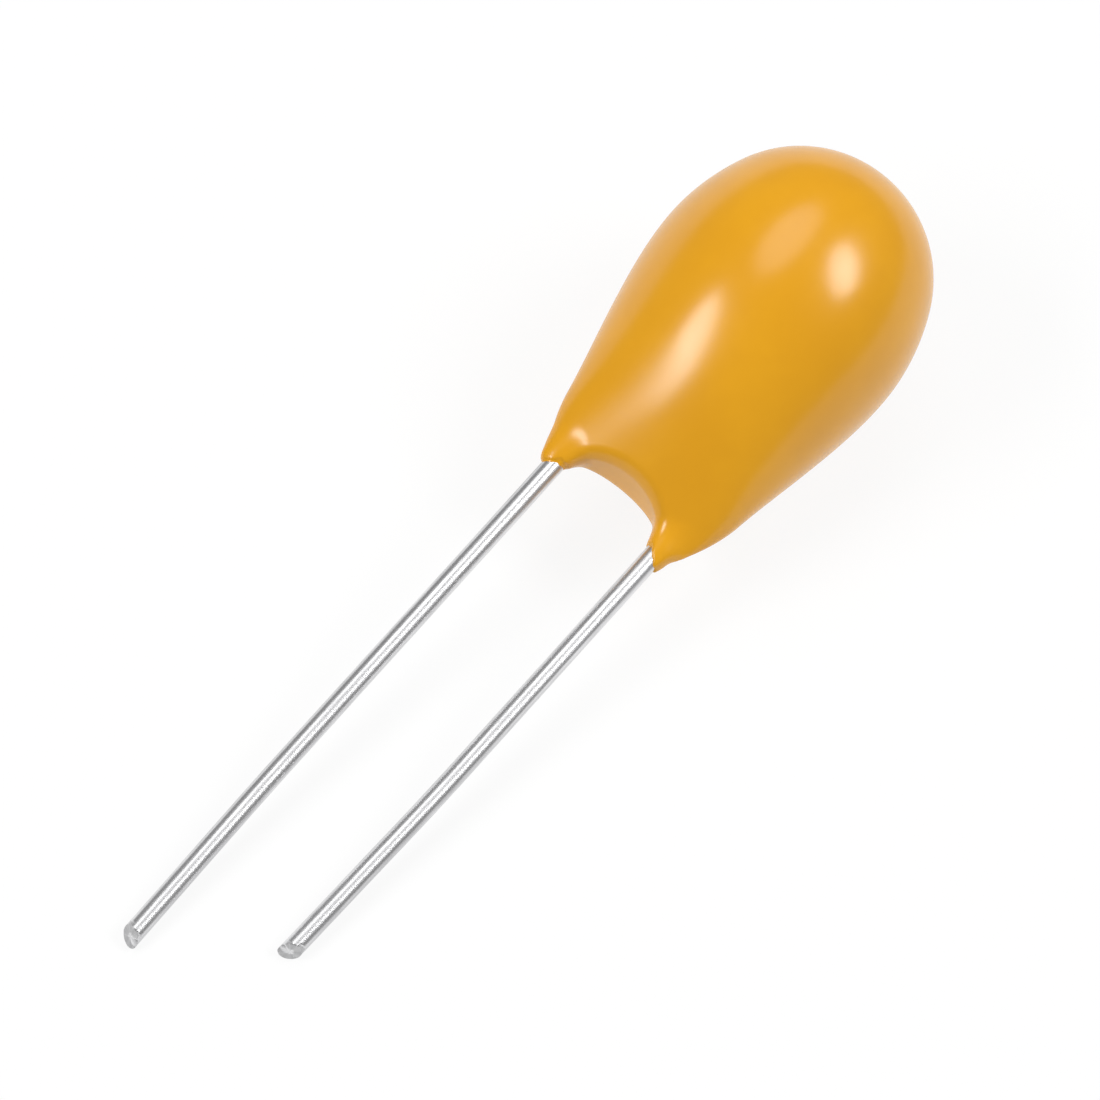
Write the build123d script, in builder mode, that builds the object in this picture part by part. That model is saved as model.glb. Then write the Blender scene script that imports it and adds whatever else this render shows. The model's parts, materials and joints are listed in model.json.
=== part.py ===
from build123d import *
import math
import os

os.makedirs("parts", exist_ok=True)

# Radial-lead dipped tantalum capacitor.
#
# The capacitor is built upright: +Z runs from the lead tips to the crown of the bulb, both leads
# stand in the XZ plane, the front is -Y, and Z = 0 is the seating plane, where the leads leave the
# coat. At the end every piece is laid down as the finished part comes to rest on a floor.
# All sizes are in millimetres and degrees.

# ------------------------------------------------------------------------- driving dimensions

# Leads: tinned round wire on a 0.1 inch pitch, the positive one longer
lead_pitch = 2.54
lead_diameter = 0.40
positive_free_length = 12.65
negative_free_length = 10.85

# Slight inward set of the lower end of each lead
positive_set_start = 8.0
positive_set_angle = 0.8
negative_set_start = 5.5
negative_set_angle = 1.3
set_radius = 90.0

# Sheared lead tips: each cut face leans outwards and to the front
tip_lean_out = 24.0
tip_lean_front = 24.0

# Leads inside the coat: the positive one joggles in to the riser, the negative one spreads out
# to run up the side of the pellet
joggle_radius = 0.40
joggle_angle = 30.0
spread_radius = 1.20
spread_angle = 20.0
negative_overlap = 2.0

# Anode: pressed and sintered tantalum pellet with its riser wire
pellet_diameter = 3.40
pellet_length = 4.40
pellet_lift = 2.75
riser_diameter = 0.28
riser_depth = 2.60
riser_reach = 1.20

# Insulating washer on the riser, against the lower face of the pellet
washer_diameter = 1.10
washer_thickness = 0.20

# Skins on the pellet, from the inside outwards, and how far up the two open ones start
manganese_thickness = 0.05
graphite_thickness = 0.03
silver_thickness = 0.05
graphite_rim = 0.55
silver_rim = 0.85

# Weld between the positive lead and the riser
weld_gap = 0.05
weld_length = 0.50
weld_width = 0.32
weld_depth = 0.30
weld_to_washer = 0.10

# Solder between the negative lead and the silver skin
solder_gap = 0.04
solder_length = 1.30
solder_cap = 0.15
solder_diameter = 0.90
solder_cover = 0.09
solder_taper = 0.20

# Lean of the element and of its coat towards the positive lead, about a point of the seating plane
lean_angle = 2.7
lean_start = 0.12

# Epoxy coat: walls over the element, then the oval tail that runs down to the leads
coat_wall = 0.862
coat_crown = 1.309
belly_rise = 0.333
shoulder_angle = 23.0
tail_height = 0.10
tail_width = 3.81
tail_depth = 0.84
tail_flare_width = 0.042
tail_flare_depth = 0.55
tail_tuck = 0.30
tuck_height = 1.35

# Saddle between the leads, and the meniscus of coat that climbs down each lead
saddle_spring = 0.0
saddle_rise = 0.52
saddle_lip = 0.14
meniscus_film = 0.04
meniscus_drop = 0.28
meniscus_rise = 0.80
meniscus_spread = 0.24

# Number of loft steps up the tail, and how they crowd to the tail's end
tail_steps = 6
step_crowding = 1.3

# ---------------------------------------------------------------------------- derived sizes

lead_radius = lead_diameter / 2
lead_offset = lead_pitch / 2
riser_radius = riser_diameter / 2
pellet_radius = pellet_diameter / 2
pellet_top = pellet_lift + pellet_length
graphite_growth = manganese_thickness + graphite_thickness
skin_growth = graphite_growth + silver_thickness

belly_radius = pellet_radius + skin_growth + coat_wall
belly_height = pellet_lift + pellet_length / 2 + belly_rise
crown_rise = pellet_top + skin_growth + coat_crown - belly_height


def lean_at(height):
    """Sideways place of the leaning middle line of the bulb at a height above the seating plane."""
    return lean_start - height * math.tan(math.radians(lean_angle))


element_x = lean_at(pellet_lift + pellet_length / 2)

# ------------------------------------------------------------------------------------- leads


def free_end(side, free_length, set_start, set_angle):
    """Line of a lead from the seating plane down to its tip, with the inward set of its lower end.

    side is -1 for the positive lead and 1 for the negative one.
    """
    with BuildLine(Plane.XZ) as run:
        hang = Line((side * lead_offset, 0), (side * lead_offset, -set_start))
        bend = JernArc(hang @ 1, hang % 1, set_radius, -side * set_angle)
        tip_length = free_length - set_start - bend.length
        PolarLine(bend @ 1, tip_length, direction=bend % 1)
    return run.line


def tip_plane(run, side):
    """Plane of a sheared tip, set so that the lowest point of the cut lies at the end of the run."""
    lean_out = math.tan(math.radians(tip_lean_out))
    lean_front = math.tan(math.radians(tip_lean_front))
    rise = lead_radius * math.hypot(lean_out, lean_front)
    return Plane(origin=run @ 1 + Vector(0, 0, rise), z_dir=(side * lean_out, -lean_front, -1))


def offset_bend(step, radius, angle):
    """Straight run and total height of a double bend that moves a lead sideways by step."""
    turn = math.radians(angle)
    straight = (step - 2 * radius * (1 - math.cos(turn))) / math.sin(turn)
    height = 2 * radius * math.sin(turn) + straight * math.cos(turn)
    return straight, height


positive_run = free_end(-1, positive_free_length, positive_set_start, positive_set_angle)
negative_run = free_end(1, negative_free_length, negative_set_start, negative_set_angle)

# The positive lead joggles in beside the riser and runs up along it, close under the washer
positive_inner_x = element_x - riser_radius - weld_gap - lead_radius
positive_top = pellet_lift - washer_thickness - weld_to_washer
joggle_run, joggle_height = offset_bend(positive_inner_x + lead_offset, joggle_radius, joggle_angle)
joggle_start = positive_top - weld_length - joggle_height

with BuildPart() as positive_lead:
    with BuildLine(Plane.XZ) as positive_path:
        add(positive_run)
        stem = Line((-lead_offset, 0), (-lead_offset, joggle_start))
        turn_in = JernArc(stem @ 1, stem % 1, joggle_radius, -joggle_angle)
        crossing = PolarLine(turn_in @ 1, joggle_run, direction=turn_in % 1)
        turn_up = JernArc(crossing @ 1, crossing % 1, joggle_radius, joggle_angle)
        PolarLine(turn_up @ 1, weld_length, direction=turn_up % 1)
    with BuildSketch(Plane(origin=positive_run @ 1, z_dir=-(positive_run % 1))):
        Circle(lead_radius)
    sweep()
    split(bisect_by=tip_plane(positive_run, -1), keep=Keep.BOTTOM)

positive_lead.part.label = "positive_lead"

# The negative lead spreads outwards and runs up beside the silvered pellet
negative_inner_x = element_x + pellet_radius + skin_growth + solder_gap + lead_radius
negative_top = pellet_lift + negative_overlap
spread_run, spread_height = offset_bend(negative_inner_x - lead_offset, spread_radius, spread_angle)
spread_start = pellet_lift - spread_height

with BuildPart() as negative_lead:
    with BuildLine(Plane.XZ) as negative_path:
        add(negative_run)
        stem = Line((lead_offset, 0), (lead_offset, spread_start))
        turn_out = JernArc(stem @ 1, stem % 1, spread_radius, -spread_angle)
        slope = PolarLine(turn_out @ 1, spread_run, direction=turn_out % 1)
        turn_up = JernArc(slope @ 1, slope % 1, spread_radius, spread_angle)
        PolarLine(turn_up @ 1, negative_overlap, direction=turn_up % 1)
    with BuildSketch(Plane(origin=negative_run @ 1, z_dir=-(negative_run % 1))):
        Circle(lead_radius)
    sweep()
    split(bisect_by=tip_plane(negative_run, 1), keep=Keep.BOTTOM)

negative_lead.part.label = "negative_lead"

# ----------------------------------------------------------------------- element: anode, skins

with BuildPart() as anode_riser_wire:
    with BuildSketch(Plane.XY.offset(pellet_lift - riser_reach)):
        with Locations((element_x, 0)):
            Circle(riser_radius)
    extrude(amount=riser_reach + riser_depth)

anode_riser_wire.part.label = "anode_riser_wire"

with BuildPart() as riser_washer:
    with BuildSketch(Plane.XY.offset(pellet_lift - washer_thickness)):
        with Locations((element_x, 0)):
            Circle(washer_diameter / 2)
            Circle(riser_radius, mode=Mode.SUBTRACT)
    extrude(amount=washer_thickness)

riser_washer.part.label = "riser_washer"


def element_body(growth):
    """The body of the pellet, grown outwards on every side by a skin."""
    with BuildPart() as body:
        with BuildSketch(Plane.XY.offset(pellet_lift - growth)):
            with Locations((element_x, 0)):
                Circle(pellet_radius + growth)
        extrude(amount=pellet_length + 2 * growth)
    return body.part


with BuildPart() as anode_pellet:
    add(element_body(0))
    add(anode_riser_wire.part, mode=Mode.SUBTRACT)

anode_pellet.part.label = "anode_pellet"

with BuildPart() as manganese_dioxide_layer:
    add(element_body(manganese_thickness))
    add(element_body(0), mode=Mode.SUBTRACT)
    add(riser_washer.part, mode=Mode.SUBTRACT)
    add(anode_riser_wire.part, mode=Mode.SUBTRACT)

manganese_dioxide_layer.part.label = "manganese_dioxide_layer"

with BuildPart() as graphite_layer:
    add(element_body(graphite_growth))
    add(element_body(manganese_thickness), mode=Mode.SUBTRACT)
    split(bisect_by=Plane.XY.offset(pellet_lift + graphite_rim), keep=Keep.TOP)

graphite_layer.part.label = "graphite_layer"

with BuildPart() as silver_layer:
    add(element_body(skin_growth))
    add(element_body(graphite_growth), mode=Mode.SUBTRACT)
    split(bisect_by=Plane.XY.offset(pellet_lift + silver_rim), keep=Keep.TOP)

silver_layer.part.label = "silver_layer"

# --------------------------------------------------------------------- joints to the element

weld_x = element_x - riser_radius - weld_gap / 2

with BuildPart() as weld_nugget:
    with BuildSketch(Plane.XY.offset(positive_top - weld_length)):
        with Locations((weld_x, 0)):
            Ellipse(weld_width / 2, weld_depth / 2)
    extrude(amount=weld_length)
    add(positive_lead.part, mode=Mode.SUBTRACT)
    add(anode_riser_wire.part, mode=Mode.SUBTRACT)

weld_nugget.part.label = "weld_nugget"

solder_x = negative_inner_x + lead_radius + solder_cover - solder_diameter / 2

with BuildPart() as solder_joint:
    with BuildSketch(Plane.XY.offset(negative_top + solder_cap - solder_length)):
        with Locations((solder_x, 0)):
            Circle(solder_diameter / 2)
    extrude(amount=solder_length)
    chamfer(solder_joint.edges().filter_by(GeomType.CIRCLE), solder_taper)
    add(negative_lead.part, mode=Mode.SUBTRACT)
    add(element_body(skin_growth), mode=Mode.SUBTRACT)

solder_joint.part.label = "solder_joint"

# ------------------------------------------------------------------------------- epoxy coat


def eased(start, end, start_slope, length, distance):
    """Cubic ease from start, which it leaves at start_slope, to end, which it reaches level."""
    share = distance / length
    arrival = 3 * share**2 - 2 * share**3
    departure = share - 2 * share**2 + share**3
    return start + (end - start) * arrival + start_slope * length * departure


def tail_section(height):
    """Half width and half depth of the oval tail at a height along the middle line of the bulb."""
    length = belly_height - tail_height
    distance = height - tail_height
    tuck = tail_tuck * max(0, 1 - distance / tuck_height) ** 2
    half_width = eased(tail_width / 2, belly_radius, tail_flare_width, length, distance)
    half_depth = eased(tail_depth / 2, belly_radius, tail_flare_depth, length, distance)
    return half_width - tuck, half_depth


with BuildPart() as saddle_cutter:
    half_span = lead_offset - lead_radius - meniscus_film
    with BuildSketch(Plane.XZ.offset(-belly_radius)):
        with Locations((0, saddle_spring)):
            Ellipse(half_span, saddle_rise)
            Rectangle(2 * half_span, 2 * meniscus_drop, align=(Align.CENTER, Align.MAX))
    extrude(amount=2 * belly_radius)


def meniscus(side):
    """Cone of coat that thins down one lead, cut flush with the saddle."""
    axis_x = side * lead_offset
    foot = (axis_x + lead_radius + meniscus_film, -meniscus_drop)
    head = (foot[0] + meniscus_spread, meniscus_rise)
    with BuildPart() as cone:
        with BuildSketch(Plane.XZ):
            with BuildLine():
                TangentArc(foot, head, tangent=(0, 1))
                Polyline(head, (axis_x, meniscus_rise), (axis_x, -meniscus_drop), foot)
            make_face()
        revolve(axis=Axis((axis_x, 0, 0), (0, 0, 1)))
        add(saddle_cutter.part, mode=Mode.SUBTRACT)
    return cone.part


embedded = (
    anode_pellet,
    anode_riser_wire,
    riser_washer,
    manganese_dioxide_layer,
    graphite_layer,
    silver_layer,
    weld_nugget,
    solder_joint,
    positive_lead,
    negative_lead,
)

# The crown is turned about the leaning middle line: a shoulder arc that runs into a round cap
middle_line = Vector(-math.tan(math.radians(lean_angle)), 0, 1).normalized()
bulb = Plane(origin=(lean_start, 0, 0), x_dir=middle_line.cross(Vector(0, -1, 0)), z_dir=middle_line)
half_profile = Plane(origin=bulb.offset(belly_height).origin, x_dir=bulb.x_dir, z_dir=(0, -1, 0))
shoulder_cos = math.cos(math.radians(shoulder_angle))
shoulder_sin = math.sin(math.radians(shoulder_angle))
arc_step = (crown_rise - belly_radius) / (shoulder_sin + shoulder_cos - 1)
shoulder_radius = belly_radius + arc_step * shoulder_cos
cap_radius = shoulder_radius - arc_step

with BuildPart() as epoxy_coat:
    for step in range(tail_steps + 1):
        share = (step / tail_steps) ** step_crowding
        height = tail_height + (belly_height - tail_height) * share
        with BuildSketch(bulb.offset(height)):
            Ellipse(*tail_section(height))
    loft()
    with BuildSketch(half_profile):
        with BuildLine():
            shoulder = JernArc((belly_radius, 0), (0, 1), shoulder_radius, shoulder_angle)
            cap = JernArc(shoulder @ 1, shoulder % 1, cap_radius, 90 - shoulder_angle)
            Polyline(cap @ 1, (0, 0), (belly_radius, 0))
        make_face()
    revolve(axis=Axis(half_profile.origin, middle_line))
    add(saddle_cutter.part, mode=Mode.SUBTRACT)
    fillet(epoxy_coat.edges(Select.LAST).sort_by(Axis.Z)[-2:], saddle_lip)
    add(meniscus(-1))
    add(meniscus(1))
    for piece in embedded:
        add(piece.part, mode=Mode.SUBTRACT)

epoxy_coat.part.label = "epoxy_coat"

# ----------------------------------------------------------------------------- resting pose

rest_rounds = 6
full_reach = positive_free_length + belly_height + crown_rise


def lowest_point(body, up):
    """Point of a body that comes first to a floor lying square to the direction up."""
    below = Plane(origin=up * -full_reach, z_dir=up)
    floor = Face.make_rect(4 * full_reach, 4 * full_reach, below)
    return body.distance_to_with_closest_points(floor)[1]


def resting_plane():
    """Floor plane under the front-up capacitor, touched by the bulb and by both lead tips."""
    up = Vector(0, -1, 0)
    for _ in range(rest_rounds):
        bulb, positive_tip, negative_tip = (
            lowest_point(body.part, up) for body in (epoxy_coat, positive_lead, negative_lead)
        )
        up = (positive_tip - bulb).cross(negative_tip - bulb).normalized()
    return Plane(origin=bulb, x_dir=(0, 0, 1), z_dir=up)


laid_down = resting_plane().location.inverse()
outside = Compound([epoxy_coat.part, positive_lead.part, negative_lead.part]).moved(laid_down)
box = outside.bounding_box(optimal=True)
resting = Location((-box.center().X, -box.center().Y, -box.min.Z)) * laid_down

for piece in (epoxy_coat, *embedded):
    piece.part.move(resting)
    export_step(piece.part, f"parts/{piece.part.label}.step")
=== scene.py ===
"""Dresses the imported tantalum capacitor: its dipped coat, tinned leads and inner parts, lit in a small studio.

Lengths of the part are in millimetres in its own upright frame: +Z runs from the lead tips to the crown of the
bulb, the leads stand in the XZ plane, the front is -Y and Z = 0 is the seating plane. Lay turns them into metres
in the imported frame, where the part lies at rest. Finishes and lamps are in metres throughout.
"""

import json
import logging
import math
from collections.abc import Mapping, Sequence
from dataclasses import dataclass
from enum import Enum, IntEnum

import bpy
import numpy as np
from mathutils import Matrix, Vector


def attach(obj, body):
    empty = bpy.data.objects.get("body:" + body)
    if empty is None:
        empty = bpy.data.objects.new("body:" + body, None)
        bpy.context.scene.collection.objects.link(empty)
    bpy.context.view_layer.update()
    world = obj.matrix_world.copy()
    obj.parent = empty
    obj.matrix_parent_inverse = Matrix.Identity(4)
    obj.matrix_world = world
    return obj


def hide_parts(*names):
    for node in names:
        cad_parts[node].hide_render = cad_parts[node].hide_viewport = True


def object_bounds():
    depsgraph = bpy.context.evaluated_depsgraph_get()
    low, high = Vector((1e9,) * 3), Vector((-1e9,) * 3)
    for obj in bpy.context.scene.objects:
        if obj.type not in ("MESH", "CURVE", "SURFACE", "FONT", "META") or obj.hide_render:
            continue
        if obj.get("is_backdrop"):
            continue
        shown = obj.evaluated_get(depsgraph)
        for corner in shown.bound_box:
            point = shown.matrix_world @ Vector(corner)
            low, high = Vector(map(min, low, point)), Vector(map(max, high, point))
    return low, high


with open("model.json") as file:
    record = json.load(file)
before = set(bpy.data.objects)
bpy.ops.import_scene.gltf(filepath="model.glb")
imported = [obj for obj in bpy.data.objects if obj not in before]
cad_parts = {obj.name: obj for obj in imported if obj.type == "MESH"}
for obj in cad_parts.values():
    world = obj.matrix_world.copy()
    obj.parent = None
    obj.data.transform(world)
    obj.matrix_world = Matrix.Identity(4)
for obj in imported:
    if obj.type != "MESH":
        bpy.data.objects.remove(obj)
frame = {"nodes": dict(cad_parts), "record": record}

Array = np.ndarray
Colour = tuple[float, float, float]
Factors = tuple[float, float, float]
Setting = str | int | float | bool

METRES = 0.001
TINY = 1e-9
ROOT = "root"
WHITE = (1.0, 1.0, 1.0)
log = logging.getLogger("capacitor")


# ------------------------------------------------------------------------------------------------ shader maths


class Operation(Enum):
    """What a Math node does to its values."""

    ADD = "ADD"
    SUBTRACT = "SUBTRACT"
    MULTIPLY = "MULTIPLY"


class Term:
    """A number or vector that varies over a surface, held as an output socket that takes Python operators."""

    def __init__(self, tree: "Tree", socket: bpy.types.NodeSocket) -> None:
        """Keeps the tree and the output socket."""
        self.tree = tree
        self.socket = socket

    def maths(self, operation: Operation, *values: "Term | float", clamp: bool = False) -> "Term":
        """Adds a Math node.

        Args:
            operation: what the node does.
            values: what goes into its sockets, in order.
            clamp: whether the result is held between 0 and 1.

        Returns:
            The node's value.
        """
        settings = {"operation": operation.value, "use_clamp": clamp}
        return self.tree.term("ShaderNodeMath", settings, dict(enumerate(values)))

    def __add__(self, other: "Term | float") -> "Term":
        """Sum."""
        return self.maths(Operation.ADD, self, other)

    def __radd__(self, other: float) -> "Term":
        """Sum with a number in front."""
        return self.maths(Operation.ADD, other, self)

    def __sub__(self, other: "Term | float") -> "Term":
        """Difference."""
        return self.maths(Operation.SUBTRACT, self, other)

    def __rsub__(self, other: float) -> "Term":
        """Difference with a number in front."""
        return self.maths(Operation.SUBTRACT, other, self)

    def __mul__(self, other: "Term | float") -> "Term":
        """Product."""
        return self.maths(Operation.MULTIPLY, self, other)

    def __rmul__(self, other: float) -> "Term":
        """Product with a number in front."""
        return self.maths(Operation.MULTIPLY, other, self)

    def clamped(self) -> "Term":
        """The value held between 0 and 1."""
        return self.maths(Operation.ADD, self, 0.0, clamp=True)

    def stretched(self, low: float, high: float) -> "Term":
        """The value with low moved to 0 and high to 1, held between them, eased at both ends."""
        settings = {"interpolation_type": "SMOOTHSTEP"}
        return self.tree.term("ShaderNodeMapRange", settings, {"Value": self, "From Min": low, "From Max": high})


@dataclass(frozen=True)
class Grain:
    """Soft noise: its lumps to one unit of the place, its finer layers and how strong those are."""

    scale: float
    detail: float
    roughness: float


class Tree:
    """The node tree of one material or world, built from terms."""

    def __init__(self, owner: bpy.types.Material | bpy.types.World) -> None:
        """Empties the owner's node tree."""
        self.owner = owner
        owner.use_nodes = True
        self.tree = owner.node_tree
        self.tree.nodes.clear()

    @classmethod
    def of_finish(cls, name: str) -> "Tree":
        """The empty tree of a new material of that name."""
        return cls(bpy.data.materials.new(name))

    def node(
        self,
        kind: str,
        settings: Mapping[str, Setting],
        inputs: Mapping[str | int, "Term | Setting | Sequence[float]"],
    ) -> bpy.types.Node:
        """Adds any node.

        Args:
            kind: the node's type.
            settings: its settings, made before its sockets are filled.
            inputs: values or terms by socket name or number.

        Returns:
            The node.
        """
        made = self.tree.nodes.new(kind)
        for name, value in settings.items():
            setattr(made, name, value)
        for name, value in inputs.items():
            if isinstance(value, Term):
                self.tree.links.new(value.socket, made.inputs[name])
            else:
                made.inputs[name].default_value = value
        return made

    def term(
        self,
        kind: str,
        settings: Mapping[str, Setting],
        inputs: Mapping[str | int, "Term | Setting | Sequence[float]"],
        output: str | int = 0,
    ) -> Term:
        """Adds any node and takes one of its outputs.

        Args:
            kind: the node's type.
            settings: its settings.
            inputs: values or terms by socket name or number.
            output: the name or number of the socket that comes out.

        Returns:
            That output as a term.
        """
        return Term(self, self.node(kind, settings, inputs).outputs[output])

    def place(self) -> Term:
        """Object coordinates, in metres."""
        return self.term("ShaderNodeTexCoord", {}, {}, "Object")

    def surface_map(self) -> Term:
        """The piece's own UV map: u once around and v along in millimetres."""
        return self.term("ShaderNodeTexCoord", {}, {}, "UV")

    def scaled(self, vector: Term, factors: Factors) -> Term:
        """The vector with each of its components multiplied by a factor."""
        return self.term("ShaderNodeVectorMath", {"operation": "MULTIPLY"}, {0: vector, 1: factors})

    def noise(self, vector: Term, grain: Grain) -> Term:
        """Soft noise of about 0 to 1 with a middle of 0.5, read at the vector."""
        inputs = {"Vector": vector, "Scale": grain.scale, "Detail": grain.detail, "Roughness": grain.roughness}
        return self.term("ShaderNodeTexNoise", {"noise_dimensions": "3D"}, inputs, "Fac")

    def cells(self, vector: Term, scale: float) -> Term:
        """Distance to the nearest of many scattered points, in cells."""
        inputs = {"Vector": vector, "Scale": scale}
        return self.term("ShaderNodeTexVoronoi", {"feature": "F1"}, inputs, "Distance")

    def mix(self, share: Term | float, first: Term | Colour, second: Term | Colour) -> Term:
        """The first colour where share is 0 and the second where it is 1."""
        sockets = {0: share, 6: rgba(first), 7: rgba(second)}
        return self.term("ShaderNodeMix", {"data_type": "RGBA"}, sockets, 2)

    def bump(self, height: Term, distance: float, strength: float, under: Term | None = None) -> Term:
        """The normal of a relief.

        Args:
            height: the relief, of about 0 to 1.
            distance: the height of 1, in metres.
            strength: how much of it shows.
            under: the normal of a coarser relief below it.

        Returns:
            The normal.
        """
        inputs = {"Height": height, "Distance": distance, "Strength": strength}
        if under is not None:
            inputs["Normal"] = under
        return self.term("ShaderNodeBump", {}, inputs, "Normal")

    def finished(self, inputs: Mapping[str, "Term | float | Sequence[float]"]) -> bpy.types.Material:
        """The material, shaded by one Principled shader with these sockets."""
        return self.shown(self.term("ShaderNodeBsdfPrincipled", {}, inputs, "BSDF"))

    def shown(self, shader: Term, output: str = "ShaderNodeOutputMaterial") -> bpy.types.ID:
        """The owner, with that shader as its surface through an output node of its kind."""
        self.node(output, {}, {"Surface": shader})
        return self.owner


def rgba(colour: Term | Colour) -> Term | tuple[float, float, float, float]:
    """A plain colour with its fourth number; a term is left as it is."""
    return colour if isinstance(colour, Term) else (*colour, 1.0)


# ------------------------------------------------------------------------------------------------------ meshes


def unit(vectors: Array) -> Array:
    """Each vector at length 1."""
    return vectors / np.linalg.norm(vectors, axis=-1, keepdims=True)


def sheet_faces(rows: int, columns: int) -> Array:
    """Quads of a grid that closes on itself after its last column.

    Args:
        rows: how many rings of points.
        columns: how many points a ring has.

    Returns:
        Four point numbers for each quad, ring by ring.
    """
    row, column = np.meshgrid(np.arange(rows - 1), np.arange(columns), indexing="ij")
    here, after = row * columns + column, row * columns + (column + 1) % columns
    return np.stack([here, after, after + columns, here + columns], axis=-1).reshape(-1, 4)


def fan_faces(ring: Array, middle: int) -> Array:
    """Triangles from each step of a ring of points to one middle point."""
    return np.stack([ring, np.roll(ring, -1), np.full_like(ring, middle)], axis=-1)


def closed_piece(name: str, rings: Array, ends: Array, ring_map: Array | None = None) -> bpy.types.Object:
    """A closed piece from rings of points, with a middle point that closes each end.

    Args:
        name: the piece's name.
        rings: points in metres, shaped (rings, points of a ring, 3), that turn anticlockwise seen from the first
            end, looking along the rings.
        ends: the two middle points.
        ring_map: the map of the points, shaped (rings, points of a ring + 1, 2), whose last column repeats the
            first one turn on.

    Returns:
        The object, at the origin.
    """
    rows, columns = rings.shape[:2]
    points = np.concatenate([rings.reshape(-1, 3), ends])
    quads = sheet_faces(rows, columns)
    first = fan_faces(np.arange(columns)[::-1], rows * columns)
    last = fan_faces(np.arange(columns) + (rows - 1) * columns, rows * columns + 1)
    loops = np.concatenate([quads.ravel(), first.ravel(), last.ravel()])
    counts = np.concatenate([np.full(len(quads), 4), np.full(len(first) + len(last), 3)])
    mesh = bpy.data.meshes.new(name)
    mesh.vertices.add(len(points))
    mesh.vertices.foreach_set("co", points.astype(np.float32).ravel())
    mesh.loops.add(len(loops))
    mesh.loops.foreach_set("vertex_index", loops.astype(np.int32))
    mesh.polygons.add(len(counts))
    mesh.polygons.foreach_set("loop_start", (np.cumsum(counts) - counts).astype(np.int32))
    mesh.polygons.foreach_set("use_smooth", np.ones(len(counts), bool))
    mesh.update(calc_edges=True)
    if ring_map is not None:
        layer = mesh.uv_layers.new(name="along")
        layer.data.foreach_set("uv", loop_map(ring_map).astype(np.float32).ravel())
    return placed(bpy.data.objects.new(name, mesh))


def loop_map(ring_map: Array) -> Array:
    """The map of each face corner of a closed piece: its quads' corners, then those of both end fans.

    Args:
        ring_map: the map of the points, with a repeated last column.

    Returns:
        One pair for each face corner.
    """
    quads = np.stack([ring_map[:-1, :-1], ring_map[:-1, 1:], ring_map[1:, 1:], ring_map[1:, :-1]], axis=2)
    back = np.arange(ring_map.shape[1] - 1)[::-1]
    first = np.stack([ring_map[0][back], ring_map[0][np.roll(back, -1)], ring_map[0][back]], axis=1)
    last = np.stack([ring_map[-1][:-1], ring_map[-1][1:], ring_map[-1][:-1]], axis=1)
    return np.concatenate([faces.reshape(-1, 2) for faces in (quads, first, last)])


def placed(made: bpy.types.Object) -> bpy.types.Object:
    """Puts a new object into the scene."""
    bpy.context.scene.collection.objects.link(made)
    return made


def fitted(piece: bpy.types.Object, node: str) -> bpy.types.Object:
    """Lets a piece stand for a node and ride on the part."""
    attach(piece, ROOT)
    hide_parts(node)
    return piece


# ----------------------------------------------------------------------------------------------- where it lies


class Side(IntEnum):
    """Which lead it is, as the sign of the X at which it leaves the coat."""

    POSITIVE = -1
    NEGATIVE = 1


@dataclass(frozen=True)
class Wire:
    """The middle line of a lead in the upright frame, as runs that follow each other in the XZ plane.

    The lead goes straight down from the coat to set_start, turns inwards by set_angle degrees on set_radius, and
    is straight from there to its tip.
    """

    side: Side
    free_length: float
    set_start: float
    set_angle: float
    pitch: float = 2.54
    diameter: float = 0.40
    set_radius: float = 90.0

    @property
    def x(self) -> float:
        """Where the lead leaves the coat."""
        return self.side * self.pitch / 2

    @property
    def tip_length(self) -> float:
        """Length of the straight run at the tip."""
        return self.free_length - self.set_start - self.set_radius * math.radians(self.set_angle)

    @property
    def tip_direction(self) -> Array:
        """Direction of the run at the tip, away from the bulb."""
        turn = math.radians(self.set_angle)
        return np.array([-self.side * math.sin(turn), 0.0, -math.cos(turn)])

    @property
    def bend_end(self) -> Array:
        """Point where the inward set ends and the run at the tip starts."""
        turn = math.radians(self.set_angle)
        inward = self.set_radius * (1 - math.cos(turn))
        return np.array([self.x - self.side * inward, 0.0, -self.set_start - self.set_radius * math.sin(turn)])

    def line(self, above: Sequence[tuple[float, float]], spacing: float) -> tuple[Array, Array]:
        """Points of the middle line from the tip up into the coat, and its direction there.

        The heading turns evenly along each run, and the points are the running sum of the heading.

        Args:
            above: length and turn, in degrees away from the bulb's middle, of each run over the seating plane.
            spacing: the longest step between points.

        Returns:
            The points and the unit directions, each shaped (points, 3).
        """
        bend = self.free_length - self.set_start - self.tip_length
        runs = [(self.tip_length, 0.0), (bend, -self.set_angle), (self.set_start, 0.0), *above]
        starts = np.concatenate([[0.0], np.cumsum([length for length, _ in runs])])
        turns = self.set_angle + np.concatenate([[0.0], np.cumsum([turn for _, turn in runs])])
        along = np.unique(np.concatenate([np.arange(0.0, starts[-1], spacing), starts]))
        heading = np.radians(np.interp(along, starts, turns)) * self.side
        direction = np.stack([np.sin(heading), np.zeros_like(heading), np.cos(heading)], axis=-1)
        steps = np.diff(along)[:, None] * unit(direction[:-1] + direction[1:])
        tip = self.bend_end + self.tip_direction * self.tip_length
        return tip + np.concatenate([np.zeros((1, 3)), np.cumsum(steps, axis=0)]), direction


POSITIVE_WIRE = Wire(Side.POSITIVE, free_length=12.65, set_start=8.0, set_angle=0.8)
NEGATIVE_WIRE = Wire(Side.NEGATIVE, free_length=10.85, set_start=5.5, set_angle=1.3)

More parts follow.
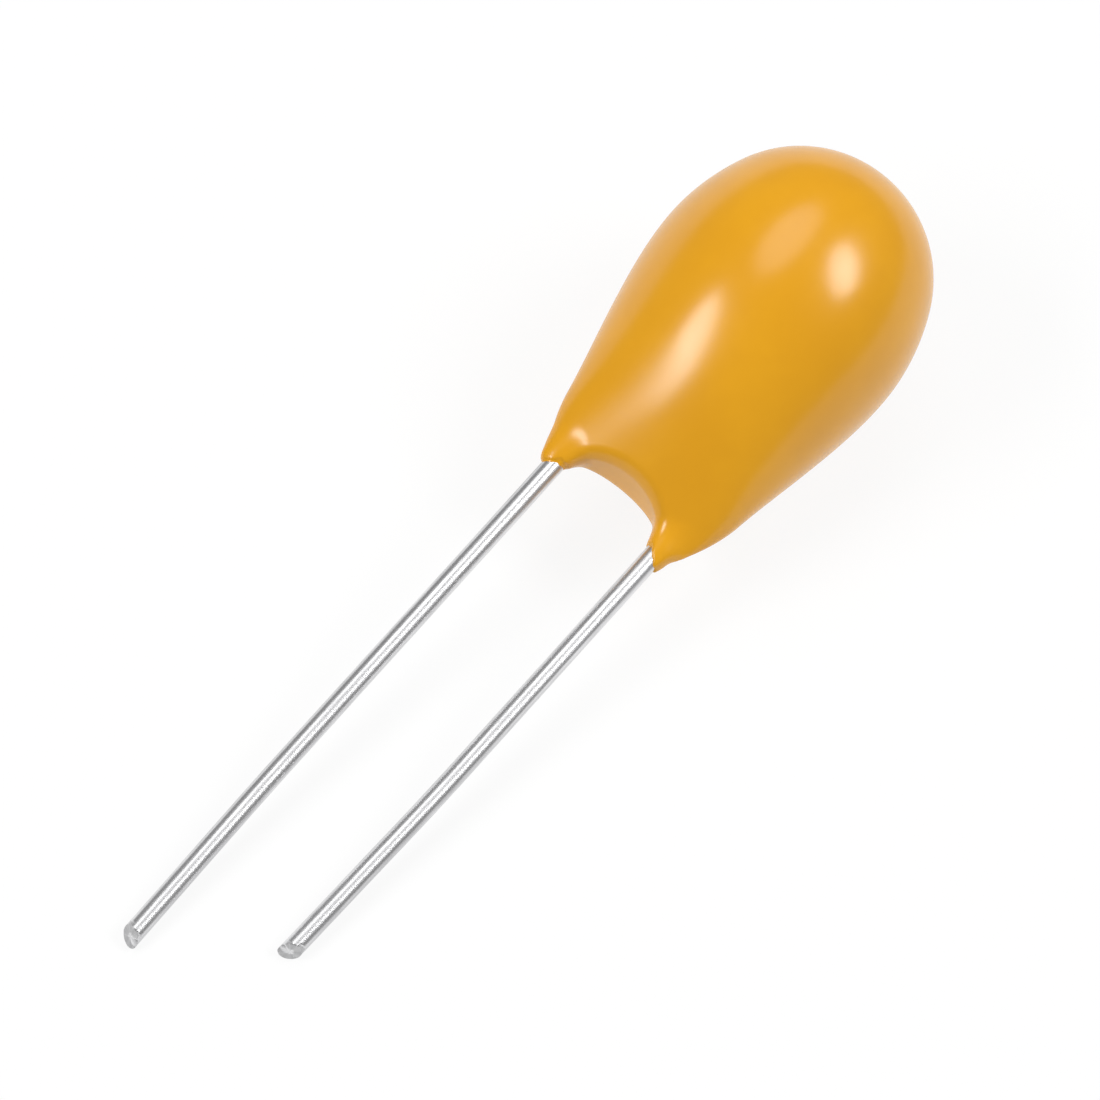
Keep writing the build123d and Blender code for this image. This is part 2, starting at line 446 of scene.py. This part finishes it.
# Length and turn of each run in the coat: the positive lead joggles in to the riser, the negative one spreads
# out beside the silver
POSITIVE_BENDS = ((0.408, 0), (0.2094, -30), (1.319, 0), (0.2094, 30), (0.5, 0))
NEGATIVE_BENDS = ((0.44, 0), (0.4189, 20), (1.584, 0), (0.4189, -20), (2.0, 0))


class Lay:
    """How the upright part lies: the turn and shift that carry its two lead ends onto the record's mounts."""

    def __init__(self, record: Mapping) -> None:
        """Works the turn out from the mounts' places and axes.

        Args:
            record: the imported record.
        """
        mounts = {mount["name"]: mount for mount in record["mounts"]}
        ends = ((POSITIVE_WIRE, mounts["positive_lead_end"]), (NEGATIVE_WIRE, mounts["negative_lead_end"]))
        middles = [wire.bend_end + wire.tip_direction * mount["dims"]["length_mm"] / 2 for wire, mount in ends]
        upright = self.axes(middles[0] - middles[1], sum(wire.tip_direction for wire, _ in ends))
        places = [np.array(mount["pos_m"]) for _, mount in ends]
        lying = self.axes(places[0] - places[1], sum(np.array(mount["axis"]) for _, mount in ends))
        self.turn = lying.T @ upright
        self.origin = (places[0] + places[1]) / 2 - self.turn @ (middles[0] + middles[1]) / 2 * METRES

    @staticmethod
    def axes(across: Array, along: Array) -> Array:
        """Three square unit rows: along, the part of across that is square to it, and the third."""
        first = unit(along)
        second = unit(across - first * (across @ first))
        return np.stack([first, second, np.cross(first, second)])

    def points(self, upright: Array) -> Array:
        """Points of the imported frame, in metres, for points of the upright frame."""
        return upright @ self.turn.T * METRES + self.origin

    def direction(self, upright: Array) -> Array:
        """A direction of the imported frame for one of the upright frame."""
        return self.turn @ upright


# --------------------------------------------------------------------------------------------------- finishes


@dataclass(frozen=True)
class Epoxy:
    """Opaque amber dip coat, with faint clouds of pigment, pores and the slow waves of a coat that ran."""

    amber: Colour = (0.80, 0.372, 0.007)
    deep: Colour = (0.76, 0.345, 0.006)
    clouds: Grain = Grain(420.0, 4.0, 0.55)
    cloud_range: tuple[float, float] = (0.35, 0.68)
    waves: Grain = Grain(520.0, 2.0, 0.4)
    wave_height: float = 2.2e-5
    wave_strength: float = 0.5
    pores: Grain = Grain(5200.0, 2.0, 0.5)
    pore_depth: float = 1.2e-6
    pore_strength: float = 0.35
    haze: Grain = Grain(900.0, 3.0, 0.6)
    roughness: float = 0.20
    haze_spread: float = 0.08
    refraction: float = 1.52

    def material(self) -> bpy.types.Material:
        """The finish as a material."""
        tree = Tree.of_finish("dip_coat_epoxy")
        place = tree.place()
        cloud = tree.noise(place, self.clouds).stretched(*self.cloud_range)
        run = tree.bump(tree.noise(place, self.waves), self.wave_height, self.wave_strength)
        return tree.finished({
            "Base Color": tree.mix(cloud, self.deep, self.amber),
            "Roughness": self.roughness + tree.noise(place, self.haze) * self.haze_spread,
            "IOR": self.refraction,
            "Normal": tree.bump(tree.noise(place, self.pores), self.pore_depth, self.pore_strength, run),
        })


@dataclass(frozen=True)
class TinnedWire:
    """Drawn wire under a thin coat of tin, with lengthwise streaks and short scuffs."""

    name: str
    bright: Colour = (0.82, 0.82, 0.83)
    dull: Colour = (0.60, 0.60, 0.61)
    streak_scale: Factors = (9.0, 0.10, 0.0)
    scuff_scale: Factors = (12.0, 1.4, 0.0)
    grain: Grain = Grain(1.0, 2.0, 0.5)
    streak_share: float = 0.75
    tone_range: tuple[float, float] = (0.36, 0.62)
    groove: float = 2.0e-6
    groove_strength: float = 0.4
    roughness: float = 0.42
    polish: float = 0.12

    def material(self) -> bpy.types.Material:
        """The finish as a material."""
        tree = Tree.of_finish(self.name)
        around = tree.surface_map()
        streak = tree.noise(tree.scaled(around, self.streak_scale), self.grain)
        scuff = tree.noise(tree.scaled(around, self.scuff_scale), self.grain)
        tone = (streak * self.streak_share + scuff * (1 - self.streak_share)).stretched(*self.tone_range)
        return tree.finished({
            "Base Color": tree.mix(tone, self.dull, self.bright),
            "Metallic": 1.0,
            "Roughness": self.roughness - tone * self.polish,
            "Normal": tree.bump(streak, self.groove, self.groove_strength),
        })


@dataclass(frozen=True)
class Speckled:
    """Finish of an inner part: two close colours in lumps of a given size, with a relief of the same lumps."""

    name: str
    main: Colour
    other: Colour
    lumps: float
    relief: float
    roughness: float
    metallic: float = 0.0
    lump_detail: float = 4.0
    lump_roughness: float = 0.6
    pores_to_lump: float = 2.3
    pore_range: tuple[float, float] = (0.05, 0.5)
    lump_tint: float = 0.7
    tint_range: tuple[float, float] = (0.3, 0.7)
    lump_relief: float = 0.6
    relief_strength: float = 0.7
    roughness_spread: float = 0.12

    def material(self) -> bpy.types.Material:
        """The finish as a material."""
        tree = Tree.of_finish(self.name)
        place = tree.place()
        lump = tree.noise(place, Grain(self.lumps, self.lump_detail, self.lump_roughness))
        pore = tree.cells(place, self.lumps * self.pores_to_lump).stretched(*self.pore_range)
        share = (lump * self.lump_tint + pore * (1 - self.lump_tint)).stretched(*self.tint_range)
        relief = lump * self.lump_relief + pore * (1 - self.lump_relief)
        return tree.finished({
            "Base Color": tree.mix(share, self.other, self.main),
            "Metallic": self.metallic,
            "Roughness": self.roughness + (1.0 - share) * self.roughness_spread,
            "Normal": tree.bump(relief, self.relief, self.relief_strength),
        })


INNER_FINISHES = {
    "anode_pellet": Speckled(
        "sintered_tantalum", (0.20, 0.21, 0.23), (0.09, 0.095, 0.11), 6000.0, 2e-5, 0.6, 0.8),
    "anode_riser_wire": Speckled(
        "tantalum_wire", (0.36, 0.37, 0.42), (0.26, 0.27, 0.31), 3000.0, 2e-6, 0.32, 1.0),
    "riser_washer": Speckled(
        "fluoropolymer", (0.86, 0.86, 0.84), (0.76, 0.76, 0.73), 1500.0, 4e-6, 0.45),
    "manganese_dioxide_layer": Speckled(
        "manganese", (0.030, 0.028, 0.028), (0.015, 0.015, 0.016), 7000.0, 1e-5, 0.7),
    "graphite_layer": Speckled(
        "graphite", (0.065, 0.065, 0.07), (0.040, 0.040, 0.044), 3500.0, 5e-6, 0.42, 0.2),
    "silver_layer": Speckled(
        "silver_paint", (0.64, 0.63, 0.60), (0.50, 0.49, 0.46), 5000.0, 6e-6, 0.5, 0.8),
    "weld_nugget": Speckled(
        "weld", (0.38, 0.37, 0.36), (0.20, 0.17, 0.15), 5000.0, 8e-6, 0.4, 1.0),
    "solder_joint": Speckled(
        "solder", (0.66, 0.66, 0.67), (0.50, 0.50, 0.51), 2200.0, 6e-6, 0.3, 1.0),
}


# ------------------------------------------------------------------------------------------------ sub-assemblies


def smooth_least(first: Array, second: Array, blend: float) -> Array:
    """The lesser of two fields, rounded by a parabola where they differ by under blend."""
    near = np.clip(0.5 + 0.5 * (second - first) / blend, 0, 1)
    return second + (first - second) * near - blend * near * (1 - near)


def eased(start: float, end: float, start_slope: float, length: float, distance: Array) -> Array:
    """Cubic ease from start, which it leaves at start_slope, to end, which it reaches level."""
    share = distance / length
    arrival = 3 * share**2 - 2 * share**3
    departure = share - 2 * share**2 + share**3
    return start + (end - start) * arrival + start_slope * length * departure


@dataclass(frozen=True)
class Meniscus:
    """Skirt of coat that thins down one lead; its edge stands at another height on each side of the wire."""

    wire: Wire
    outer_foot: float
    inner_foot: float
    contact: float
    phase: float
    ragged: float = 0.02
    coarse_waves: int = 3
    fine_waves: int = 7
    fine_share: float = 0.6
    film: float = 0.03
    height: float = 0.85
    steep: float = 0.55

    def field(self, x: Array, y: Array, z: Array) -> Array:
        """Distance to the skirt, about: that to the wire's axis less a radius that swells and falls with height.

        The radius is the wire's own, the round edge of the film, and a parabola that leaves the foot at the
        contact slope and is back at nothing at the skirt's height, deep in the bulb. The slope is whole on the
        outer side, falls to its steep share in front and behind, and is half way between them on the inner side.
        The foot goes from inner to outer with the cosine of the angle round the wire, with two small waves for
        the ragged edge.

        Args:
            x: sideways places.
            y: places front to back.
            z: heights.

        Returns:
            The field, below 0 in the skirt.
        """
        off = x - self.wire.x
        angle = np.arctan2(y, off * self.wire.side)
        share = 0.5 + 0.5 * np.cos(angle)
        coarse = np.sin(self.coarse_waves * angle + self.phase)
        fine = np.sin(self.fine_waves * angle + 2 * self.phase)
        wave = self.ragged * (coarse + self.fine_share * fine)
        rise = z - (self.inner_foot + (self.outer_foot - self.inner_foot) * share + wave)
        swell = (2 * share - 1) ** 2 * (1 + share) / 2
        contact = self.contact * (self.steep + (1 - self.steep) * swell)
        cone = contact * rise * (1 - np.maximum(rise, 0) / self.height)
        edge = self.film * np.sqrt(1 - (1 - np.clip(rise / self.film, 0, 1)) ** 2)
        radius = self.wire.diameter / 2 + edge + cone
        return (np.hypot(off, y) - radius) / np.hypot(1, self.contact)


@dataclass(frozen=True)
class DipCoat:
    """The bulb: an oval tail that swells to a round belly under a crown of two arcs, all leaning a little.

    The swells are its unevenness: waves with a pull along X, Y and Z and a phase each, which fade out over
    calm_band above calm_level, so that the tail is smooth. The ring shares and angles say how the rings of the
    mesh crowd towards the leads, and crowding says how the points of a ring do.
    """

    positive: Meniscus
    negative: Meniscus
    lean_angle: float = 2.7
    lean_start: float = 0.12
    belly_radius: float = 2.688
    belly_height: float = 5.283
    crown_rise: float = 3.306
    shoulder_angle: float = 23.0
    tail_height: float = 0.10
    tail_width: float = 3.86
    tail_depth: float = 0.36
    tail_flare_width: float = 0.01
    tail_flare_depth: float = 0.75
    tail_tuck: float = 0.357
    tuck_height: float = 1.29
    tail_core: float = 0.9
    hem: float = 0.14
    hem_drop: float = 0.02
    saddle_spring: float = 0.0
    saddle_rise: float = 0.67
    saddle_half_span: float = 1.13
    saddle_blend: float = 0.22
    skirt_blend: float = 0.22
    waviness: float = 0.006
    swells: tuple[tuple[float, float, float, float], ...] = (
        (5.1, 2.3, 0.0, 0.7),
        (0.0, 4.3, -3.7, 2.1),
        (3.1, 0.0, 6.2, 4.0),
    )
    calm_level: float = -0.80
    calm_band: float = 0.2
    rows: int = 350
    columns: int = 270
    ring_shares: tuple[float, ...] = (0.0, 0.36, 0.56, 0.95, 1.0)
    ring_angles: tuple[float, ...] = (0.0, 125.0, 158.0, 175.0, 180.0)
    crowding: float = 0.30
    reach: float = 8.0
    halvings: int = 34

    def body(self, x: Array, y: Array, z: Array) -> Array:
        """Distance to the plain bulb, about.

        The tail holds under the belly and the crown over it. The tail's end is cut square to the leaning middle
        line, with a rounded hem.

        Args:
            x: sideways places.
            y: places front to back.
            z: heights.

        Returns:
            The field, below 0 in the bulb.
        """
        lean = math.radians(self.lean_angle)
        across = (x - self.lean_start) * math.cos(lean) + z * math.sin(lean)
        along = z * math.cos(lean) - (x - self.lean_start) * math.sin(lean)
        over = along - self.belly_height
        plain = np.where(over > 0, self.crown(np.hypot(across, y), over), self.tail(across, y, along))
        return -smooth_least(-plain, along - self.tail_height + self.hem_drop, self.hem)

    def tail(self, across: Array, y: Array, along: Array) -> Array:
        """Distance to the tail, about: an oval whose half width and half depth ease out to the belly's radius.

        It is how far the point lies outside the oval section, over the section's gradient, and in the core of
        the tail it is held level.

        Args:
            across: places across the leaning middle line, in the leads' plane.
            y: places front to back.
            along: places along the middle line.

        Returns:
            The field, below 0 in the tail.
        """
        length = self.belly_height - self.tail_height
        distance = np.clip(along - self.tail_height, 0, length)
        tuck = self.tail_tuck * np.maximum(0, 1 - distance / self.tuck_height) ** 2
        wide = eased(self.tail_width / 2, self.belly_radius, self.tail_flare_width, length, distance) - tuck
        deep = eased(self.tail_depth / 2, self.belly_radius, self.tail_flare_depth, length, distance)
        share = np.sqrt((across / wide) ** 2 + (y / deep) ** 2) + TINY
        gradient = np.sqrt((across / wide**2) ** 2 + (y / deep**2) ** 2) / share + TINY
        return np.maximum((share - 1) / gradient, -self.tail_core * np.minimum(wide, deep))

    def crown(self, out: Array, over: Array) -> Array:
        """Distance to the crown: a shoulder arc that leaves the belly upright and runs into a round cap.

        The shoulder's centre lies level with the belly, and the cap's on the shoulder's last radius and on the
        middle line.

        Args:
            out: distances from the leaning middle line.
            over: heights over the belly.

        Returns:
            The field, below 0 in the crown.
        """
        turn = math.radians(self.shoulder_angle)
        step = (self.crown_rise - self.belly_radius) / (math.sin(turn) + math.cos(turn) - 1)
        shoulder = self.belly_radius + step * math.cos(turn)
        around = out + shoulder - self.belly_radius
        cap = np.hypot(around - step * math.cos(turn), over - step * math.sin(turn)) - (shoulder - step)
        side = np.hypot(around, over) - shoulder
        return np.where(np.arctan2(over, around) > turn, cap, side)

    def arch(self, x: Array, z: Array) -> Array:
        """Distance to the saddle's opening, about: an ellipse over its springing line, and a slot below it."""
        over = np.maximum(z - self.saddle_spring, 0) / self.saddle_rise
        share = np.sqrt((x / self.saddle_half_span) ** 2 + over**2) + TINY
        gradient = np.hypot(x / self.saddle_half_span**2, over / self.saddle_rise) / share + TINY
        return (share - 1) / gradient

    def field(self, points: Array) -> Array:
        """Distance to the whole coat, about: bulb and skirts flowed together, less the saddle's opening.

        Args:
            points: places, shaped (..., 3).

        Returns:
            The field, below 0 in the coat.
        """
        x, y, z = points[..., 0], points[..., 1], points[..., 2]
        bulb = -smooth_least(-self.body(x, y, z), self.arch(x, z), self.saddle_blend)
        skirts = np.minimum(self.positive.field(x, y, z), self.negative.field(x, y, z))
        return smooth_least(bulb, skirts, self.skirt_blend)

    def directions(self) -> Array:
        """Directions that the surface is looked for in, ring by ring from the crown, closer at the leads.

        Returns:
            Unit directions shaped (rows, columns, 3).
        """
        share = (np.arange(self.rows) + 0.5) / self.rows
        polar = np.interp(share, self.ring_shares, np.radians(self.ring_angles))
        azimuth = np.linspace(0, 2 * np.pi, self.columns, endpoint=False)
        azimuth = azimuth - self.crowding * np.sin(2 * azimuth)
        sine = np.sin(polar)[:, None]
        level = np.broadcast_to(np.cos(polar)[:, None], (self.rows, self.columns))
        return np.stack([sine * np.cos(azimuth), sine * np.sin(azimuth), level], axis=-1)

    def surface(self) -> tuple[Array, Array]:
        """Rings of points on the coat, and the points over its two poles.

        Each point is where a ray from the middle of the belly leaves the field, found by halving.

        Returns:
            The rings and the two end points, in the upright frame.
        """
        aside = self.lean_start - self.belly_height * math.tan(math.radians(self.lean_angle))
        middle = np.array([aside, 0.0, self.belly_height])
        poles = np.array([[0, 0, 1.0], [0, 0, -1.0]])
        rays = np.concatenate([self.directions().reshape(-1, 3), poles])
        near, far = np.zeros(len(rays)), np.full(len(rays), self.reach)
        for _ in range(self.halvings):
            half = (near + far) / 2
            inside = self.field(middle + rays * half[:, None]) < 0
            near, far = np.where(inside, half, near), np.where(inside, far, half)
        found = middle + rays * (far + self.wave(rays))[:, None]
        return found[:-2].reshape(self.rows, self.columns, 3), found[-2:]

    def wave(self, rays: Array) -> Array:
        """Slow unevenness of a coat that ran as it set: the mean of the swells over the rays, never outwards."""
        swells = np.array(self.swells)
        hills = np.sin(rays @ swells[:, :3].T + swells[:, 3]).mean(axis=1)
        fade = np.clip((rays[:, 2] - self.calm_level) / self.calm_band, 0, 1)
        return self.waviness * (hills - 1) * fade

    def build(self, lay: Lay) -> bpy.types.Object:
        """The coat as a piece that stands for its node."""
        rings, ends = self.surface()
        piece = closed_piece("dip_coat", lay.points(rings)[:, ::-1], lay.points(ends))
        piece.data.materials.append(Epoxy().material())
        return fitted(piece, "epoxy_coat")


@dataclass(frozen=True)
class Lead:
    """A tinned lead from its sheared tip up to its joint in the coat.

    The cut at the tip faces down, lean_out degrees away from the other lead and lean_front degrees to the front.
    """

    node: str
    wire: Wire
    above: tuple[tuple[float, float], ...]
    lean_out: float = 24.0
    lean_front: float = 24.0
    spacing: float = 0.12
    around: int = 64

    def rings(self) -> tuple[Array, Array]:
        """Rings of the wire, from the tip up.

        A circle is carried square to the middle line. The rings near the tip are slid along the wire onto the
        plane of the cut, whose lowest point is level with the end of the line.

        Returns:
            The rings and the distance of each ring along the wire.
        """
        middle, direction = self.wire.line(self.above, self.spacing)
        radius = self.wire.diameter / 2
        angle = np.linspace(0, 2 * np.pi, self.around, endpoint=False)
        front = np.array([0.0, -1.0, 0.0])
        aside = np.cross(direction, front)
        ring = np.cos(angle)[None, :, None] * aside[:, None] + np.sin(angle)[None, :, None] * front
        rings = middle[:, None] + radius * ring
        out, forward = math.tan(math.radians(self.lean_out)), math.tan(math.radians(self.lean_front))
        square = np.array([-self.wire.side * out, forward, 1.0])
        rise = radius * math.hypot(out, forward)
        gap = (rings - middle[0] - np.array([0, 0, rise])) @ square / (direction @ square)[:, None]
        slide = np.maximum(-gap, 0)
        along = np.linalg.norm(np.diff(middle, axis=0), axis=1).cumsum()
        return rings + slide[..., None] * direction[:, None], np.concatenate([[0.0], along])

    def build(self, lay: Lay) -> bpy.types.Object:
        """The lead as a piece that stands for its node."""
        rings, along = self.rings()
        turns = np.linspace(0, 1, self.around + 1)
        ring_map = np.stack(np.meshgrid(along, turns, indexing="ij")[::-1], axis=-1)
        ends = np.stack([rings[0].mean(axis=0), rings[-1].mean(axis=0)])
        piece = closed_piece(self.node + "_wire", lay.points(rings), lay.points(ends), ring_map)
        piece.data.materials.append(TinnedWire(self.node + "_tin").material())
        return fitted(piece, self.node)


class InnerParts:
    """The anode, its skins and its joints, which keep their solids and get a finish each."""

    def dress(self) -> list[bpy.types.Object]:
        """Gives every inner node its material.

        Returns:
            The dressed objects.
        """
        dressed = []
        for name, finish in INNER_FINISHES.items():
            piece = frame["nodes"][name]
            piece.data.materials.clear()
            piece.data.materials.append(finish.material())
            dressed.append(piece)
        return dressed


# ------------------------------------------------------------------------------------------------------ studio


@dataclass(frozen=True)
class Softbox:
    """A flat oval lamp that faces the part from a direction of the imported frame.

    All but distance, in metres, and radiance, where 1 is white, are in degrees. Wide and high are the sizes of
    the lamp seen from the part, and turn is how far it is turned about the line to the part.
    """

    name: str
    azimuth: float
    elevation: float
    wide: float
    high: float
    radiance: float
    turn: float
    distance: float = 0.30

    def build(self, target: Array) -> bpy.types.Object:
        """The lamp, aimed at the target; its power is its radiance times the area of its oval and pi."""
        sizes = (self.wide, self.high)
        width, height = (2 * self.distance * math.tan(math.radians(size) / 2) for size in sizes)
        lamp = bpy.data.lights.new(self.name, "AREA")
        lamp.shape = "ELLIPSE"
        lamp.size, lamp.size_y = width, height
        lamp.energy = self.radiance * width * height * math.pi**2 / 4
        around, over = math.radians(self.azimuth), math.radians(self.elevation)
        away = Vector((math.cos(around) * math.cos(over), math.sin(around) * math.cos(over), math.sin(over)))
        made = bpy.data.objects.new(self.name, lamp)
        made.location = Vector(target) + away * self.distance
        turn = Matrix.Rotation(math.radians(self.turn), 4, "Z")
        made.rotation_euler = (away.to_track_quat("Z", "Y").to_matrix().to_4x4() @ turn).to_euler()
        return placed(made)


@dataclass(frozen=True)
class View:
    """The camera: which way it looks at the upright part, and where the part's origin lies in its frame.

    It stands in front of the part, turned by below degrees under the seating plane and by from_side degrees to
    +X, and is rolled by roll degrees. Distance and the two shifts are in metres, lens in millimetres.
    """

    below: float = 20.0
    from_side: float = 5.0
    roll: float = 42.1
    distance: float = 0.4
    shift_right: float = -0.001026
    shift_up: float = -0.000773
    lens: float = 698.0
    nearest: float = 0.01
    farthest: float = 10.0

    def build(self, lay: Lay) -> bpy.types.Object:
        """The camera of the scene."""
        below, side, roll = (math.radians(angle) for angle in (self.below, self.from_side, self.roll))
        level = np.array([math.sin(side), -math.cos(side), 0.0]) * math.cos(below)
        toward = level - np.array([0.0, 0.0, math.sin(below)])
        crown = unit(np.array([0, 0, 1.0]) - toward * toward[2])
        beside = np.cross(crown, toward)
        right = math.sin(roll) * crown + math.cos(roll) * beside
        up = math.cos(roll) * crown - math.sin(roll) * beside
        axes = [lay.direction(axis) for axis in (right, up, toward)]
        place = lay.origin + axes[2] * self.distance + axes[0] * self.shift_right + axes[1] * self.shift_up
        lens = bpy.data.cameras.new("camera")
        lens.lens, lens.clip_start, lens.clip_end = self.lens, self.nearest, self.farthest
        camera = placed(bpy.data.objects.new("camera", lens))
        turned = Matrix(np.stack(axes, axis=1).tolist()).to_4x4()
        camera.matrix_world = Matrix.Translation(Vector(place)) @ turned
        bpy.context.scene.camera = camera
        return camera


@dataclass(frozen=True)
class Studio:
    """Pale floor, soft lamps and an even world.

    Paper is the floor's colour and lift the share of plain white it shows where it is seen; lit and shown are
    the strengths of the world as a light and behind the part.
    """

    floor_size: float = 3.0
    paper: Colour = (0.92, 0.92, 0.92)
    lift: float = 0.88
    lit: float = 0.24
    shown: float = 1.0
    softboxes: tuple[Softbox, ...] = (
        Softbox("key", azimuth=-43.0, elevation=50.0, wide=30.0, high=18.0, radiance=11.0, turn=26.0),
        Softbox("strip", azimuth=144.0, elevation=45.5, wide=36.0, high=14.0, radiance=12.5, turn=-11.0),
        Softbox("fill", azimuth=44.0, elevation=63.0, wide=46.0, high=28.0, radiance=2.4, turn=52.0),
    )

    def floor(self) -> bpy.types.Object:
        """The floor: near white, and lifted to white where it is seen straight, with the part's shadow kept."""
        half = self.floor_size / 2
        edge = [(-half, -half, 0), (half, -half, 0), (half, half, 0), (-half, half, 0)]
        mesh = bpy.data.meshes.new("floor")
        mesh.from_pydata(edge, [], [(0, 1, 2, 3)])
        floor = placed(bpy.data.objects.new("floor", mesh))
        tree = Tree.of_finish("paper")
        matt = tree.term("ShaderNodeBsdfDiffuse", {}, {"Color": rgba(self.paper)})
        glow = tree.term("ShaderNodeEmission", {}, {"Color": rgba(WHITE), "Strength": 1.0})
        both = tree.term("ShaderNodeMixShader", {}, {0: self.seen(tree) * self.lift, 1: matt, 2: glow})
        mesh.materials.append(tree.shown(both))
        floor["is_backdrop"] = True
        return floor

    @staticmethod
    def seen(tree: Tree) -> Term:
        """1 where a surface is seen straight, in a mirror or through glass, and 0 where it lights others."""
        path = tree.node("ShaderNodeLightPath", {}, {})
        straight, mirrored, through = (
            Term(tree, path.outputs[name]) for name in ("Is Camera Ray", "Is Glossy Ray", "Is Transmission Ray")
        )
        return (straight + mirrored + through).clamped()

    def world(self) -> None:
        """An even pale world that lights at a plain level and is white behind the part."""
        world = bpy.data.worlds.new("studio")
        bpy.context.scene.world = world
        tree = Tree(world)
        lit, shown = (
            tree.term("ShaderNodeBackground", {}, {"Color": rgba(WHITE), "Strength": strength})
            for strength in (self.lit, self.shown)
        )
        straight = tree.term("ShaderNodeLightPath", {}, {}, "Is Camera Ray")
        both = tree.term("ShaderNodeMixShader", {}, {0: straight, 1: lit, 2: shown})
        tree.shown(both, "ShaderNodeOutputWorld")

    def build(self, target: Array) -> None:
        """Floor, world and lamps round the target, shown without a film curve."""
        bpy.context.scene.view_settings.view_transform = "Standard"
        self.floor()
        self.world()
        for softbox in self.softboxes:
            softbox.build(target)


# -------------------------------------------------------------------------------------------------------- main


def corners(bounds: Sequence[Vector]) -> list[list[float]]:
    """A box's two corners as plain lists."""
    return [list(corner) for corner in bounds]


def main() -> None:
    """Builds the part's pieces, its inner finishes and the studio, and reports each."""
    logging.basicConfig(level=logging.INFO, format="%(message)s")
    solids_box = corners(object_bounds())
    lay = Lay(frame["record"])
    coat = DipCoat(
        positive=Meniscus(POSITIVE_WIRE, outer_foot=-0.08, inner_foot=0.16, contact=0.62, phase=0.6),
        negative=Meniscus(NEGATIVE_WIRE, outer_foot=-0.33, inner_foot=0.02, contact=0.42, phase=2.0),
    )
    positive = Lead("positive_lead", POSITIVE_WIRE, POSITIVE_BENDS)
    negative = Lead("negative_lead", NEGATIVE_WIRE, NEGATIVE_BENDS)
    for part in (coat, positive, negative):
        piece = part.build(lay)
        log.info("%s: %d faces", piece.name, len(piece.data.polygons))
    for piece in InnerParts().dress():
        log.info("%s: dressed", piece.name)
    View().build(lay)
    Studio().build(np.array(sum(map(Vector, solids_box), Vector()) / 2))
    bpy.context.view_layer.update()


if __name__ == "__main__":
    main()
